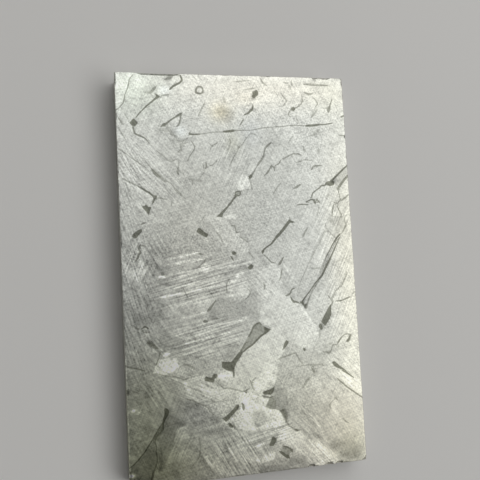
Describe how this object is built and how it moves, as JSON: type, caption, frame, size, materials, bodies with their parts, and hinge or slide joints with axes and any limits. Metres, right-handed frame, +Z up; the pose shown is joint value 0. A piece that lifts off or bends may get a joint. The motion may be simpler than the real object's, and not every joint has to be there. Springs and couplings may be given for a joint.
{
  "type": "iron meteorite slice",
  "caption": "Flat rectangular slice of iron meteorite, ground and etched, with dark inclusions, cracks and grain boundaries sunk in its face.",
  "frame": {"origin": "middle of the flat back face, on the surface the slice lies on", "axes": "+X across the slice, +Y along its longer side, +Z up out of the etched face"},
  "size_m": [0.019, 0.0318, 0.0025],
  "materials": {
    "etched_iron": "ground and acid-etched nickel-iron, satin grey with paler and duller crystals, dark inclusions and fine scratches"
  },
  "bodies": {
    "root": {"meteorite_slice": "etched_iron"}
  },
  "joints": []
}
